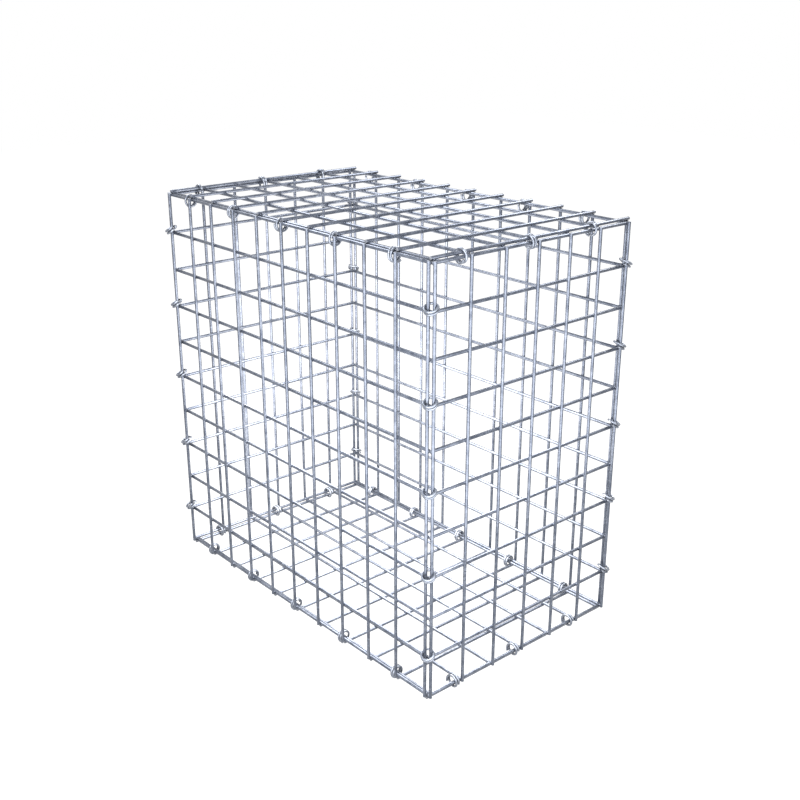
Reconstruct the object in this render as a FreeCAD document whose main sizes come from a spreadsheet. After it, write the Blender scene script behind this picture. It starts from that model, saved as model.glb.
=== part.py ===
import FreeCAD, Part
import math
import os

# Gabion basket: six flat panels of welded galvanised wire mesh, laced edge to edge by coiled rings.
# Each wire is its own bar with eight flats, and the flats of two crossing wires face each other
# at the weld. +Z is up, the front looks along -Y, and z = 0 is the floor that the bottom rings touch.

os.makedirs("parts", exist_ok=True)
doc = FreeCAD.newDocument("gabion_basket")

SIZES = [
    ("basket_length", 500.0),
    ("basket_depth", 300.0),
    ("basket_height", 500.0),
    ("mesh_pitch", 50.0),
    ("wire_diameter", 4.0),
    ("weld_depth", 1.0),
    ("corner_gap", 0.2),
    ("upright_foot", 2.0),
    ("upright_head", 2.0),
    ("cross_end", 1.0),
    ("lid_overhang", 3.2),
    ("ring_wire", 2.8),
    ("ring_slack", 0.3),
    ("ring_pitch", 3.6),
    ("ring_tilt", 32.0),
    ("ring_spread", 2.0),
]
sheet = doc.addObject("Spreadsheet::Sheet", "Sizes")
for row, (alias, value) in enumerate(SIZES, start=1):
    sheet.set("A%d" % row, alias)
    sheet.set("B%d" % row, str(value))
    sheet.setAlias("B%d" % row, alias)
doc.recompute()
size = {alias: float(sheet.get(alias)) for alias, _ in SIZES}

# A panel has one wire more than it has mesh openings.
cells_x = max(2, round(size["basket_length"] / size["mesh_pitch"]))
cells_y = max(2, round(size["basket_depth"] / size["mesh_pitch"]))
cells_z = max(2, round(size["basket_height"] / size["mesh_pitch"]))

WIRE = "Sizes.wire_diameter"
GAP = "Sizes.corner_gap"
# One wire welded on another stands this far from it, centre to centre.
LAYER = "(Sizes.wire_diameter - Sizes.weld_depth)"
# Two wires that pass without a weld.
PASS = "(Sizes.wire_diameter + Sizes.corner_gap)"
# From the last upright of a wall to the wire of the next wall that its cross wires end at.
REACH = "(Sizes.cross_end + Sizes.corner_gap + Sizes.wire_diameter / 2)"

# Ring: eight flats to a turn, thirteen flats long.
RING_SEGMENTS = 13
RING_TURN = 45.0
# It goes round the two uprights of a corner.
RING_IN = "((sqrt((%s + %s) ^ 2 + %s ^ 2) + %s) / 2 + Sizes.ring_slack)" % (LAYER, REACH, REACH, WIRE)
# Its bar has six flats and as much metal as a round one of the same diameter.
BAR = 0.55
RING_OUT = "(%s + Sizes.ring_wire * %.4f)" % (RING_IN, BAR * (1 + math.cos(math.radians(30))))
RING_HALF = "(Sizes.ring_pitch * %g / 16 + Sizes.ring_wire * %g)" % (RING_SEGMENTS, BAR)

# Levels of the lowest and the highest cross wires of the four walls.
FOOT = "(%s + %s / 2 + %s / 2 + %s - %s)" % (PASS, WIRE, GAP, RING_OUT, RING_IN)
HEAD = "(%s + Sizes.basket_height)" % FOOT
# Walls: uprights outside, cross wires inside. Lid and base: long wires outside them.
FRONT_UPRIGHT = "(Sizes.basket_depth / 2 + %s)" % REACH
FRONT_CROSS = "(%s - %s)" % (FRONT_UPRIGHT, LAYER)
SIDE_CROSS = "(Sizes.basket_length / 2 + %s)" % REACH
SIDE_UPRIGHT = "(%s + %s)" % (SIDE_CROSS, LAYER)
EDGE_WIRE = "(%s - %s)" % (FRONT_CROSS, PASS)
RISE = "(%s - %s)" % (PASS, LAYER)

ALONG = {
    "X": FreeCAD.Rotation(FreeCAD.Vector(0, 1, 0), 90) * FreeCAD.Rotation(FreeCAD.Vector(0, 0, 1), 22.5),
    "Y": FreeCAD.Rotation(FreeCAD.Vector(1, 0, 0), -90) * FreeCAD.Rotation(FreeCAD.Vector(0, 0, 1), 22.5),
    "Z": FreeCAD.Rotation(FreeCAD.Vector(0, 0, 1), 22.5),
}


def add_wire(name, axis, x, y, z, length):
    wire = doc.addObject("Part::Prism", name)
    wire.Polygon = 8
    wire.Placement = FreeCAD.Placement(FreeCAD.Vector(0, 0, 0), ALONG[axis])
    wire.setExpression("Circumradius", "%s / 2 / cos(22.5)" % WIRE)
    wire.setExpression("Height", length)
    wire.setExpression("Placement.Base.x", x)
    wire.setExpression("Placement.Base.y", y)
    wire.setExpression("Placement.Base.z", z)
    return wire


def add_node(name, members):
    node = doc.addObject("Part::Compound", name)
    node.Links = members
    node.Label = name
    return node


def step(index, cells, whole):
    """Distance of wire number index from the middle of a panel."""
    return "(%s * %g)" % (whole, index / cells - 0.5)


def wall(name, across, cells, upright_at, cross_at):
    """Upright mesh panel: across is X for front and back, Y for the two ends."""
    whole = "Sizes.basket_length" if across == "X" else "Sizes.basket_depth"
    wires = []
    for i in range(cells + 1):
        side = step(i, cells, whole)
        x, y = (side, upright_at) if across == "X" else (upright_at, side)
        wires.append(add_wire(
            "%s_upright_%d" % (name, i), "Z", x, y, "%s - Sizes.upright_foot" % FOOT,
            "Sizes.basket_height + Sizes.upright_foot + Sizes.upright_head"))
    start = "-(%s / 2 + Sizes.cross_end)" % whole
    for k in range(cells_z + 1):
        level = "%s + Sizes.basket_height * %g" % (FOOT, k / cells_z)
        x, y = (start, cross_at) if across == "X" else (cross_at, start)
        wires.append(add_wire(
            "%s_cross_%d" % (name, k), across, x, y, level, "%s + 2 * Sizes.cross_end" % whole))
    return add_node(name, wires)


def cover(name, sign, level, front_end, back_end):
    """Flat mesh panel: sign is 1 for the lid, whose short wires lie on top, and -1 for the base."""
    wires = []
    for i in range(cells_x + 1):
        wires.append(add_wire(
            "%s_short_%d" % (name, i), "Y", step(i, cells_x, "Sizes.basket_length"), "-%s" % front_end,
            "%s + %d * %s" % (level, sign, PASS), "%s + %s" % (front_end, back_end)))
    for j in range(cells_y + 1):
        y = step(j, cells_y, "Sizes.basket_depth")
        if j == 0:
            y = "-%s" % EDGE_WIRE
        if j == cells_y:
            y = EDGE_WIRE
        wires.append(add_wire(
            "%s_long_%d" % (name, j), "X", "-(Sizes.basket_length / 2 + Sizes.cross_end)", y,
            "%s + %d * %s" % (level, sign, RISE), "Sizes.basket_length + 2 * Sizes.cross_end"))
    return add_node(name, wires)


inner_end = "(%s - %s / 2 - %s)" % (FRONT_UPRIGHT, WIRE, GAP)
panels = [
    wall("front_panel", "X", cells_x, "-%s" % FRONT_UPRIGHT, "-%s" % FRONT_CROSS),
    wall("back_panel", "X", cells_x, FRONT_UPRIGHT, FRONT_CROSS),
    wall("left_panel", "Y", cells_y, "-%s" % SIDE_UPRIGHT, "-%s" % SIDE_CROSS),
    wall("right_panel", "Y", cells_y, SIDE_UPRIGHT, SIDE_CROSS),
    cover("base_panel", -1, FOOT, inner_end, inner_end),
    cover("lid_panel", 1, HEAD, inner_end, "(%s + Sizes.lid_overhang)" % FRONT_UPRIGHT),
]
doc.recompute()

# One coiled ring, its axis along Z, the single strand to -X and the doubled part to +X.
layer = size["wire_diameter"] - size["weld_depth"]
reach = size["cross_end"] + size["corner_gap"] + size["wire_diameter"] / 2
ring_in = (math.hypot(layer + reach, reach) + size["wire_diameter"]) / 2 + size["ring_slack"]
flat_radius = ring_in + size["ring_wire"] * BAR
corner_radius = flat_radius / math.cos(math.radians(RING_TURN / 2))
points = []
for n in range(RING_SEGMENTS + 1):
    turned = math.radians(180 + RING_TURN * (n - RING_SEGMENTS / 2))
    rise = size["ring_pitch"] * RING_TURN / 360 * (n - RING_SEGMENTS / 2)
    points.append(FreeCAD.Vector(corner_radius * math.cos(turned), corner_radius * math.sin(turned), rise))
ring_path = doc.addObject("Part::Feature", "ring_path")
ring_path.Shape = Part.makePolygon(points)
headings = [(points[n + 1] - points[n]).normalize() for n in range(RING_SEGMENTS)]
# The bar lies flat on the floor with the middle of its single strand: from there its flat is
# carried back, corner by corner, to the cut end where the coil starts.
middle = RING_SEGMENTS // 2
outwards = (points[middle] + points[middle + 1]).normalize()
for n in range(middle, 0, -1):
    outwards = FreeCAD.Rotation(headings[n], headings[n - 1]).multVec(outwards)
ring_section = doc.addObject("Part::RegularPolygon", "ring_section")
ring_section.Polygon = 6
ring_section.setExpression("Circumradius", "Sizes.ring_wire * %g" % BAR)
ring_section.Placement = FreeCAD.Placement(
    points[0], FreeCAD.Rotation(outwards.cross(headings[0]), outwards, headings[0], "ZYX"))
coil = doc.addObject("Part::Sweep", "coil")
coil.Sections = [ring_section]
coil.Spine = (ring_path, [])
coil.Solid = True
coil.Frenet = False
coil.Transition = "Right corner"
doc.recompute()


def add_ring(name, x, y, z, turns):
    """One ring: turns is a list of (axis, angle) that is applied from the last to the first."""
    ring = doc.addObject("App::Link", name)
    ring.LinkedObject = coil
    ring.LinkTransform = False
    turning = " * ".join("rotation(vector(%d; %d; %d); %s)" % (axis + (angle,)) for axis, angle in turns)
    ring.setExpression("Placement", "placement(vector(%s; %s; %s); %s)" % (x, y, z, turning))
    return ring


X_AXIS, Y_AXIS, Z_AXIS = (1, 0, 0), (0, 1, 0), (0, 0, 1)
RESTING = "((%s + %s) / 2)" % (WIRE, GAP)
BESIDE = "(%s / 2 + %s + %s)" % (WIRE, GAP, RING_HALF)
rings = []

# Rings on the long edges hang on the top pair of wires, and lie on the floor round the bottom pair.
DROP = "((%s - %s) * 1.41421 - %s / 2 - %s / 2)" % (RING_IN, RESTING, PASS, RISE)
long_count = cells_x // 2
for side, sign in (("front", -1), ("back", 1)):
    for cap, level in (("lid", "%s - %s" % (HEAD, DROP)), ("base", RING_OUT)):
        group = []
        for k in range(long_count):
            x = "%s - %s" % (step(2 * k + 1, cells_x, "Sizes.basket_length"), BESIDE)
            if cap == "lid":
                y = "%d * (%s - %s / 2 - %s / 2)" % (sign, FRONT_CROSS, PASS, RISE)
            else:
                y = "%d * (%s - %s + %s)" % (sign, FRONT_CROSS, RING_IN, RESTING)
            turned = RING_TURN * ((3 * k + 2) % 8) if cap == "lid" else 180
            group.append(add_ring(
                "%s_%s_ring_%d" % (cap, side, k), x, y, level, [(Y_AXIS, "90"), (Z_AXIS, "%g" % turned)]))
        rings.append(add_node("%s_%s_rings" % (cap, side), group))

# Rings on the short edges go round the end wall's cross wire and the cover's last short wire.
short_count = cells_y // 2
for side, sign in (("left", -1), ("right", 1)):
    for cap, level in (("lid", "%s - %s + %s" % (HEAD, RING_OUT, FOOT)), ("base", RING_OUT)):
        group = []
        for k in range(short_count):
            x = "%d * (%s - %s + %s)" % (sign, SIDE_CROSS, RING_IN, RESTING)
            y = "%s - %s - Sizes.ring_spread" % (step(2 * k + 1, cells_y, "Sizes.basket_depth"), BESIDE)
            turned = RING_TURN * ((3 * k + 5) % 8) if cap == "lid" else 90
            group.append(add_ring(
                "%s_%s_ring_%d" % (cap, side, k), x, y, level, [(X_AXIS, "90"), (Z_AXIS, "%g" % turned)]))
        rings.append(add_node("%s_%s_rings" % (cap, side), group))

# Rings on the four upright edges lean outwards, so their inner strand passes over the cross wires.
LIFT = "(%s / 2 + Sizes.ring_wire / 2 + Sizes.ring_pitch / 5 + %s)" % (WIRE, GAP)
for side, bearing in (("front_right", -62), ("back_left", 118), ("front_left", -118), ("back_right", 62)):
    sx = 1 if "right" in side else -1
    sy = 1 if "back" in side else -1
    group = []
    for k in range(cells_z // 2):
        x = "%d * (Sizes.basket_length / 2 + (%s + %s) / 2 + %s)" % (sx, REACH, LAYER, GAP)
        y = "%d * (Sizes.basket_depth / 2 + %s / 2 + 2 * %s)" % (sy, REACH, GAP)
        z = "%s + Sizes.basket_height * %g + %s" % (FOOT, (2 * k + 1) / cells_z, LIFT)
        group.append(add_ring(
            "%s_ring_%d" % (side, k), x, y, z,
            [(Z_AXIS, "%g" % bearing), (Y_AXIS, "Sizes.ring_tilt")]))
    rings.append(add_node("%s_rings" % side, group))

doc.recompute()

nodes = panels + rings
for item in doc.Objects:
    if "Invalid" in item.State or "Error" in item.State:
        raise RuntimeError("%s did not recompute: %s" % (item.Label, item.State))
for node in nodes:
    shape = node.Shape
    if shape.isNull() or not shape.isValid():
        raise RuntimeError("%s has no valid shape" % node.Label)
    shape.exportStep("parts/%s.step" % node.Label)
    box = shape.BoundBox
    print("%-20s %2d solids %9.1f mm3  x %7.2f %7.2f  y %7.2f %7.2f  z %7.2f %7.2f" % (
        node.Label, len(shape.Solids), shape.Volume,
        box.XMin, box.XMax, box.YMin, box.YMax, box.ZMin, box.ZMax))
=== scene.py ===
import math

import bpy
from mathutils import Matrix, Vector


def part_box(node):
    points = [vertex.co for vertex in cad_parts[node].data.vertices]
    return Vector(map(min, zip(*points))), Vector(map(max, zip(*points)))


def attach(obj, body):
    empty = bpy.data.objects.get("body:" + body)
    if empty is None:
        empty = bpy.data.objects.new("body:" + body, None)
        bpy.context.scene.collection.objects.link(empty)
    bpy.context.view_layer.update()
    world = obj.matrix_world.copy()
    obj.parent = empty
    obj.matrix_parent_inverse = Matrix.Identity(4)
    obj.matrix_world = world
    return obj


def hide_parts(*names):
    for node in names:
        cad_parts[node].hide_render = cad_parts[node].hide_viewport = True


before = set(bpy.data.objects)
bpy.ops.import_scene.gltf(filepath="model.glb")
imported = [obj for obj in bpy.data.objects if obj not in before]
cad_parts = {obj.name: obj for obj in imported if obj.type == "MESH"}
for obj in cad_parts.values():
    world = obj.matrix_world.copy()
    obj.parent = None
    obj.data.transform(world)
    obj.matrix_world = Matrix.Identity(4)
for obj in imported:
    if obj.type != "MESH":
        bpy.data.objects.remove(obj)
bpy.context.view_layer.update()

# Sizes of the basket in metres, as in the part's own list of sizes.
LENGTH, DEPTH, HEIGHT = 0.500, 0.300, 0.500
CELLS_X, CELLS_Y, CELLS_Z = 10, 6, 10
WIRE = 0.0040
WELD = 0.0010
GAP = 0.0002
CROSS_END = 0.0010
UPRIGHT_END = 0.0020
LID_OVERHANG = 0.0032
BAR = 0.0028
RING_RADIUS = 0.0072
RING_PITCH = 0.0036
RING_TURNS = 1.625
RING_SLACK = 0.0003
RING_SPREAD = 0.0020
RING_TILT = 32

# Centre to centre: a wire from the one that it is welded on, and from one that it only passes.
LAYER = WIRE - WELD
PASS = WIRE + GAP
RISE = PASS - LAYER
# From the last upright of a wall to the wire of the next wall that its cross wires end at.
REACH = CROSS_END + GAP + WIRE / 2
FRONT_UPRIGHT = DEPTH / 2 + REACH
FRONT_CROSS = FRONT_UPRIGHT - LAYER
SIDE_CROSS = LENGTH / 2 + REACH
SIDE_UPRIGHT = SIDE_CROSS + LAYER
EDGE_WIRE = FRONT_CROSS - PASS
INNER_END = FRONT_UPRIGHT - WIRE / 2 - GAP
# Levels of the walls' lowest and highest cross wires.
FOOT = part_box("front_panel")[0][2] + UPRIGHT_END
HEAD = FOOT + HEIGHT


# Shader maths.

class Socket:
    """A node's output that can be used in a Python expression."""

    def __init__(self, paint, out):
        self.paint, self.out = paint, out

    def maths(self, operation, other):
        return self.paint.node("ShaderNodeMath", dict(operation=operation), {0: self, 1: other})

    def __add__(self, other):
        return self.maths("ADD", other)

    def __mul__(self, other):
        return self.maths("MULTIPLY", other)

    __radd__ = __add__
    __rmul__ = __mul__


class Paint:
    """The nodes of a material or of the world, and the one way in which they are added."""

    def __init__(self, owner, output="ShaderNodeOutputMaterial"):
        owner.use_nodes = True
        self.owner = owner
        self.tree = owner.node_tree
        self.tree.nodes.clear()
        self.output = self.tree.nodes.new(output)

    def node(self, kind, settings=None, sockets=None, out=0):
        node = self.tree.nodes.new(kind)
        for key, value in (settings or {}).items():
            if key == "stops":
                for stop, (place, colour) in zip(node.color_ramp.elements, value):
                    stop.position, stop.color = place, colour
            else:
                setattr(node, key, value)
        for key, value in (sockets or {}).items():
            if isinstance(value, Socket):
                self.tree.links.new(value.out, node.inputs[key])
            else:
                node.inputs[key].default_value = value
        return Socket(self, node.outputs[out])

    def noise(self, place, per_metre, detail, roughness=0.5):
        return self.node("ShaderNodeTexNoise", None, {
            "Vector": place, "Scale": per_metre, "Detail": detail, "Roughness": roughness})

    def tone(self, mask, low, high):
        """Colour from one stop to the other; a stop is a place and a colour."""
        return self.node("ShaderNodeValToRGB", dict(stops=[low, high]), {"Fac": mask})

    def finish(self, shader):
        self.tree.links.new(shader.out, self.output.inputs["Surface"])
        return self.owner


# Depth of the uneven skin on zinc and cut steel, and how many clouds and grains come to a metre.
SKIN = 0.0002
CLOUDS, GRAINS, CUT_GRAINS = 70.0, 900.0, 1400.0


def galvanised(name, pale, dark, spangle, smoothest):
    """Zinc-coated drawn wire: crystal patches, larger dull clouds and a slightly uneven skin."""
    paint = Paint(bpy.data.materials.new(name))
    place = paint.node("ShaderNodeTexCoord", out="Object")
    crystals = paint.node("ShaderNodeTexVoronoi", dict(feature="F1"),
                          {"Vector": place, "Scale": 1 / spangle}, out="Color")
    patch = paint.node("ShaderNodeSeparateColor", None, {"Color": crystals})
    cloud = paint.noise(place, CLOUDS, 4.0, 0.6)
    grain = paint.noise(place, GRAINS, 3.0, 0.7)
    bump = paint.node("ShaderNodeBump", None, {
        "Strength": 0.12, "Distance": SKIN, "Height": cloud * 0.7 + grain * 0.3})
    return paint.finish(paint.node("ShaderNodeBsdfPrincipled", None, {
        "Base Color": paint.tone(patch * 0.15 + cloud * 0.85, (0.25, dark), (0.75, pale)),
        "Metallic": 0.7,
        "Roughness": smoothest + cloud * 0.12 + patch * 0.06,
        "Specular IOR Level": 0.3,
        "Normal": bump}))


def cut_steel():
    """The sheared end of a wire: bare steel that has dulled."""
    paint = Paint(bpy.data.materials.new("cut_steel_end"))
    place = paint.node("ShaderNodeTexCoord", out="Object")
    grain = paint.noise(place, CUT_GRAINS, 3.0)
    bump = paint.node("ShaderNodeBump", None, {"Strength": 0.4, "Distance": SKIN, "Height": grain})
    return paint.finish(paint.node("ShaderNodeBsdfPrincipled", None, {
        "Base Color": paint.tone(grain, (0.3, (0.16, 0.17, 0.19, 1)), (0.8, (0.32, 0.335, 0.37, 1))),
        "Metallic": 1.0,
        "Roughness": 0.5 + grain * 0.2,
        "Normal": bump}))


# Pale and dark tone, size of a crystal patch, and the roughness of the smoothest places.
mesh_zinc = galvanised("galvanised_mesh_wire",
                       (0.18, 0.199, 0.243, 1), (0.057, 0.068, 0.094, 1), 0.0030, 0.16)
ring_zinc = galvanised("galvanised_ring_wire",
                       (0.25, 0.27, 0.315, 1), (0.115, 0.13, 0.16, 1), 0.0025, 0.18)
wire_end = cut_steel()


# Making pieces.

def nothing_selected():
    bpy.ops.object.select_all(action="DESELECT")


def only(piece):
    nothing_selected()
    piece.select_set(True)
    bpy.context.view_layer.objects.active = piece


def new_blank(name, *finishes):
    """The primitive that was just added: named, with its place put into its mesh, and painted."""
    piece = bpy.context.object
    piece.name = name
    only(piece)
    bpy.ops.object.transform_apply(location=True, rotation=True, scale=True)
    for finish in finishes:
        piece.data.materials.append(finish)
    return piece


def bevelled(piece, width, segments):
    bevel = piece.modifiers.new("cut_edge", "BEVEL")
    bevel.width = width
    bevel.segments = segments
    bevel.limit_method = "ANGLE"
    bevel.angle_limit = math.radians(60)
    only(piece)
    bpy.ops.object.modifier_apply(modifier="cut_edge")


def copy_of(blank, place):
    """A copy with its own mesh, moved there."""
    piece = blank.copy()
    piece.data = blank.data.copy()
    piece.data.transform(place)
    bpy.context.scene.collection.objects.link(piece)
    return piece


def joined(parts, name):
    nothing_selected()
    for part in parts:
        part.select_set(True)
    bpy.context.view_layer.objects.active = parts[0]
    bpy.ops.object.join()
    piece = bpy.context.object
    piece.name = piece.data.name = name
    return piece


# Mesh panels.

# Turns +Z to each axis.
TURN = {
    "X": Matrix.Rotation(math.radians(90), 4, "Y"),
    "Y": Matrix.Rotation(math.radians(-90), 4, "X"),
    "Z": Matrix.Identity(4),
}


def wire_blank(length):
    """A straight round wire along Z from 0, its cut ends slightly rounded over."""
    nothing_selected()
    bpy.ops.mesh.primitive_cylinder_add(
        vertices=16, radius=WIRE / 2, depth=length, location=(0, 0, length / 2))
    blank = new_blank("wire_blank", mesh_zinc, wire_end)
    for face in blank.data.polygons:
        face.material_index = 1 if abs(face.normal.z) > 0.9 else 0
    bevelled(blank, WIRE * 0.08, 2)
    bpy.ops.object.shade_smooth_by_angle(angle=math.radians(40))
    return blank


# The bead at a weld: half its width and height, and how far it is drawn out into the corners.
BEAD_WIDE, BEAD_HIGH, BEAD_DRAWN = WIRE * 0.475, WIRE * 0.33, 1.45


def weld_blank():
    """Metal squeezed out of a weld: a flat bead that fills the four corners where two wires cross."""
    nothing_selected()
    bpy.ops.mesh.primitive_uv_sphere_add(segments=8, ring_count=6, radius=1.0)
    bpy.context.object.scale = (BEAD_WIDE, BEAD_WIDE, BEAD_HIGH)
    blank = new_blank("weld_blank", mesh_zinc)
    bpy.ops.object.mode_set(mode="EDIT")
    bpy.ops.mesh.select_mode(type="VERT")
    bpy.ops.mesh.select_all(action="DESELECT")
    bpy.ops.object.mode_set(mode="OBJECT")
    for point in blank.data.vertices:
        out = abs(point.co.x)
        point.select = out > WIRE * 0.1 and abs(out - abs(point.co.y)) < WIRE * 0.01
    bpy.ops.object.mode_set(mode="EDIT")
    bpy.ops.transform.resize(value=(BEAD_DRAWN, BEAD_DRAWN, 1.0), center_override=(0, 0, 0))
    bpy.ops.object.mode_set(mode="OBJECT")
    bpy.ops.object.shade_smooth()
    return blank


wire_blanks = {}
bead = weld_blank()


def wire(axis, start, length):
    key = round(length, 5)
    if key not in wire_blanks:
        wire_blanks[key] = wire_blank(length)
    return copy_of(wire_blanks[key], Matrix.Translation(start) @ TURN[axis])


def weld(place, normal):
    return copy_of(bead, Matrix.Translation(place) @ TURN[normal])


def line_at(index, cells, whole):
    """Distance of wire number index from the middle of a panel."""
    return whole * (index / cells - 0.5)


def wall(name, across, cells, whole, upright_at, cross_at):
    """Upright mesh: uprights outside, cross wires inside, a weld at each crossing."""
    def place(side, at, level):
        return (side, at, level) if across == "X" else (at, side, level)

    normal = "Y" if across == "X" else "X"
    end = whole / 2 + CROSS_END
    parts = []
    sides = [line_at(i, cells, whole) for i in range(cells + 1)]
    for side in sides:
        parts.append(wire("Z", place(side, upright_at, FOOT - UPRIGHT_END), HEIGHT + 2 * UPRIGHT_END))
    for k in range(CELLS_Z + 1):
        level = FOOT + HEIGHT * k / CELLS_Z
        parts.append(wire(across, place(-end, cross_at, level), 2 * end))
        for side in sides:
            parts.append(weld(place(side, (upright_at + cross_at) / 2, level), normal))
    return joined(parts, name)


def cover(name, sign, level, front_end, back_end):
    """Flat mesh: sign is 1 for the lid, whose short wires lie on top, and -1 for the base."""
    end = LENGTH / 2 + CROSS_END
    parts = []
    xs = [line_at(i, CELLS_X, LENGTH) for i in range(CELLS_X + 1)]
    ys = [line_at(j, CELLS_Y, DEPTH) for j in range(CELLS_Y + 1)]
    ys[0], ys[-1] = -EDGE_WIRE, EDGE_WIRE
    for x in xs:
        parts.append(wire("Y", (x, -front_end, level + sign * PASS), front_end + back_end))
    for y in ys:
        parts.append(wire("X", (-end, y, level + sign * RISE), 2 * end))
        for x in xs:
            parts.append(weld((x, y, level + sign * (PASS + RISE) / 2), "Z"))
    return joined(parts, name)


panels = {
    "front_panel": wall("front_mesh", "X", CELLS_X, LENGTH, -FRONT_UPRIGHT, -FRONT_CROSS),
    "back_panel": wall("back_mesh", "X", CELLS_X, LENGTH, FRONT_UPRIGHT, FRONT_CROSS),
    "left_panel": wall("left_mesh", "Y", CELLS_Y, DEPTH, -SIDE_UPRIGHT, -SIDE_CROSS),
    "right_panel": wall("right_mesh", "Y", CELLS_Y, DEPTH, SIDE_UPRIGHT, SIDE_CROSS),
    "base_panel": cover("base_mesh", -1, FOOT, INNER_END, INNER_END),
    "lid_panel": cover("lid_mesh", 1, HEAD, INNER_END, FRONT_UPRIGHT + LID_OVERHANG),
}


# Lacing rings.

def ring_blank():
    """One ring with its axis along Z: the single strand to -X, the doubled part to +X."""
    nothing_selected()
    bpy.ops.mesh.primitive_circle_add(vertices=12, radius=BAR / 2, fill_type="NOTHING",
                                      location=(RING_RADIUS, 0, 0), rotation=(math.radians(90), 0, 0))
    blank = new_blank("ring_blank", ring_zinc, wire_end)
    start = math.radians(180 - 180 * RING_TURNS)
    blank.data.transform(
        Matrix.Translation((0, 0, -RING_PITCH * RING_TURNS / 2)) @ Matrix.Rotation(start, 4, "Z"))
    screw = blank.modifiers.new("coil", "SCREW")
    screw.axis = "Z"
    screw.angle = math.radians(360 * RING_TURNS)
    screw.screw_offset = RING_PITCH * RING_TURNS
    screw.steps = screw.render_steps = 36
    only(blank)
    bpy.ops.object.modifier_apply(modifier="coil")
    # Cut faces close the two open ends of the bar.
    bpy.ops.object.mode_set(mode="EDIT")
    bpy.ops.mesh.select_mode(type="EDGE")
    bpy.ops.mesh.select_all(action="DESELECT")
    bpy.ops.mesh.select_non_manifold(extend=False)
    bpy.ops.mesh.edge_face_add()
    bpy.ops.mesh.select_all(action="SELECT")
    bpy.ops.mesh.normals_make_consistent(inside=False)
    bpy.ops.object.mode_set(mode="OBJECT")
    for face in blank.data.polygons:
        face.material_index = 1 if len(face.vertices) > 4 else 0
    bevelled(blank, 0.00018, 1)
    bpy.ops.object.shade_smooth_by_angle(angle=math.radians(45))
    return blank


coil = ring_blank()


def ring(place, *turns):
    """One ring there; the turns, each an axis and degrees, are applied from the last to the first."""
    at = Matrix.Translation(place)
    for axis, angle in turns:
        at = at @ Matrix.Rotation(math.radians(angle), 4, axis)
    return copy_of(coil, at)


# Rings are placed by the part's own bar, which has six flats and as much metal as a round one.
bar_corner = BAR * 0.55
bar_flat = bar_corner * math.cos(math.radians(30))
# The inside just goes round the two uprights of a corner.
ring_in = (math.hypot(LAYER + REACH, REACH) + WIRE) / 2 + RING_SLACK
ring_out = ring_in + bar_corner + bar_flat
ring_half = RING_PITCH * RING_TURNS / 2 + bar_corner
# From a ring's middle to the wire next to it, and from its inside to the wire that it rests on.
beside = WIRE / 2 + GAP + ring_half
resting = PASS / 2
# How far a lid ring's middle hangs below HEAD, and a corner ring's lies above the cross wire.
drop = (ring_in - resting) * math.sqrt(2) - PASS / 2 - RISE / 2
lift = WIRE / 2 + BAR / 2 + RING_PITCH / 5 + GAP

# Each ring is turned differently on its wires: by eighths of a turn where it hangs, and by a few
# degrees more there and on the base.
EIGHTH = 45
rings = {}
# Long edges: the rings hang on the top pair of wires, and lie on the floor round the bottom pair.
for side, sign in (("front", -1), ("back", 1)):
    for cap in ("lid", "base"):
        group = []
        for k in range(CELLS_X // 2):
            x = line_at(2 * k + 1, CELLS_X, LENGTH) - beside
            if cap == "lid":
                y, z = sign * (FRONT_CROSS - PASS / 2 - RISE / 2), HEAD - drop
                turned = EIGHTH * ((3 * k + 2) % 8) + 9 * ((k * 5) % 3)
            else:
                y, z = sign * (FRONT_CROSS - ring_in + resting), ring_out
                turned = 180 + 17 * ((k * 5) % 4 - 1)
            group.append(ring((x, y, z), ("Y", 90), ("Z", turned)))
        rings["%s_%s" % (cap, side)] = group
# Short edges: they go round the end wall's cross wire and the cover's last short wire.
for side, sign in (("left", -1), ("right", 1)):
    for cap in ("lid", "base"):
        group = []
        for k in range(CELLS_Y // 2):
            x = sign * (SIDE_CROSS - ring_in + resting)
            y = line_at(2 * k + 1, CELLS_Y, DEPTH) - beside - RING_SPREAD
            z = HEAD - ring_out + FOOT if cap == "lid" else ring_out
            turned = EIGHTH * ((3 * k + 5) % 8) + 9 * k if cap == "lid" else 90 + 14 * k
            group.append(ring((x, y, z), ("X", 90), ("Z", turned)))
        rings["%s_%s" % (cap, side)] = group
# Upright edges: they lean outwards, so their inner strand passes over the cross wires.
for edge, sx, sy, bearing in (("front_right", 1, -1, -62), ("back_left", -1, 1, 118),
                              ("front_left", -1, -1, -118), ("back_right", 1, 1, 62)):
    x = sx * (LENGTH / 2 + (REACH + LAYER) / 2 + GAP)
    y = sy * (DEPTH / 2 + REACH / 2 + 2 * GAP)
    levels = [FOOT + HEIGHT * (2 * k + 1) / CELLS_Z + lift for k in range(CELLS_Z // 2)]
    rings[edge] = [ring((x, y, z), ("Z", bearing), ("Y", RING_TILT)) for z in levels]

for blank in list(wire_blanks.values()) + [bead, coil]:
    bpy.data.objects.remove(blank)

for node, piece in panels.items():
    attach(piece, "root")
    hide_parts(node)
for edge, group in rings.items():
    piece = joined(group, edge + "_lacing")
    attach(piece, "root")
    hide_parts(edge + "_rings")


# Camera at the photograph's viewing angle.

# Place over the walls' lowest wires, angles in degrees, and focal length per picture width.
EYE = (1.02743, -0.86199, 0.75009 + FOOT)
YAW, PITCH = -49.161, -20.481
FOCAL = 1100.4 / 800


def aim(piece, ahead):
    piece.rotation_euler = ahead.to_track_quat("-Z", "Y").to_euler()


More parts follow.
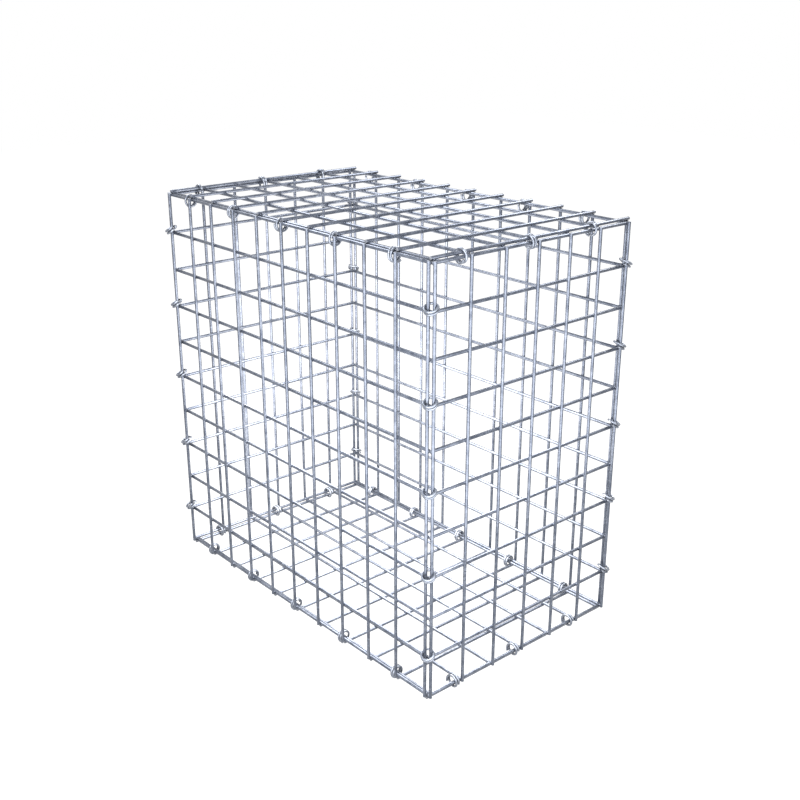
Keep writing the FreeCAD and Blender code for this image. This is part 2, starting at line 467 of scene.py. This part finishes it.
lens = bpy.data.cameras.new("camera")
lens.sensor_width = 36.0
lens.lens = FOCAL * lens.sensor_width
lens.clip_start = 0.01
lens.clip_end = 60.0
camera = bpy.data.objects.new("camera", lens)
bpy.context.scene.collection.objects.link(camera)
yaw, pitch = math.radians(YAW), math.radians(PITCH)
camera.location = EYE
aim(camera, Vector((math.sin(yaw) * math.cos(pitch), math.cos(yaw) * math.cos(pitch), math.sin(pitch))))
bpy.context.scene.camera = camera


# Studio: soft boxes where the wires mirror them, and weak warm ones for the far walls and the base.

FLOOR_GREY = 0.10
# Strength of the world for the light that it gives, where 1 is what the camera sees.
AMBIENT = 0.05
WHITE = (1, 1, 1, 1)
PLAIN, WARM = (1.0, 1.0, 1.0), (1.0, 0.96, 0.90)

# Name, place, what it points at, width and height, power and colour.
LAMPS = [
    ("top_left", (-1.25, -0.1, 1.85), (0, 0, 0.3), (1.1, 1.1), 40, PLAIN),
    ("top_back", (0.05, 1.5, 1.65), (0, 0, 0.3), (1.1, 1.1), 40, PLAIN),
    ("low_front", (0.39, -0.33, 0.31), (0, 0, 0.31), (0.95, 0.60), 8.0, PLAIN),
    ("key_front", (0.55, -1.25, 1.35), (0, 0, 0.3), (0.8, 0.8), 30, PLAIN),
    ("inner_back", (-0.13, -0.08, 0.25), (-0.13, 0.2, 0.25), (0.54, 0.44), 2.8, WARM),
    ("inner_left", (0, 0, 0.25), (-0.3, 0, 0.25), (0.26, 0.44), 1.6, WARM),
    ("inner_base", (0, 0, 0.28), (0, 0, 0), (0.46, 0.26), 4.4, WARM),
]


def seen_white(paint):
    """1 on rays from the camera and on mirrored or clear ones, and 0 on those that carry light."""
    rays = [paint.node("ShaderNodeLightPath", out=ray)
            for ray in ("Is Camera Ray", "Is Glossy Ray", "Is Transmission Ray")]
    return (rays[0] + rays[1] + rays[2]).maths("MINIMUM", 1.0)


nothing_selected()
bpy.ops.mesh.primitive_plane_add(size=9.0, location=(0, 0, -0.0002))
floor = bpy.context.object
floor.name = "floor"
paint = Paint(bpy.data.materials.new("pale_floor"))
paper = paint.node("ShaderNodeBsdfDiffuse", None, {"Color": (FLOOR_GREY, FLOOR_GREY, FLOOR_GREY, 1)})
white = paint.node("ShaderNodeEmission", None, {"Color": WHITE, "Strength": seen_white(paint)})
floor.data.materials.append(paint.finish(paint.node("ShaderNodeAddShader", None, {0: paper, 1: white})))

world = bpy.data.worlds.new("studio")
bpy.context.scene.world = world
paint = Paint(world, "ShaderNodeOutputWorld")
paint.finish(paint.node("ShaderNodeBackground", None, {
    "Color": WHITE, "Strength": seen_white(paint) * (1 - AMBIENT) + AMBIENT}))

for name, place, target, (wide, high), power, colour in LAMPS:
    light = bpy.data.lights.new(name, "AREA")
    light.shape = "RECTANGLE"
    light.size, light.size_y = wide, high
    light.energy = power
    light.color = colour
    lamp = bpy.data.objects.new(name, light)
    lamp.location = place
    aim(lamp, Vector(target) - Vector(place))
    lamp.visible_camera = False
    bpy.context.scene.collection.objects.link(lamp)

bpy.context.scene.view_settings.view_transform = "Standard"
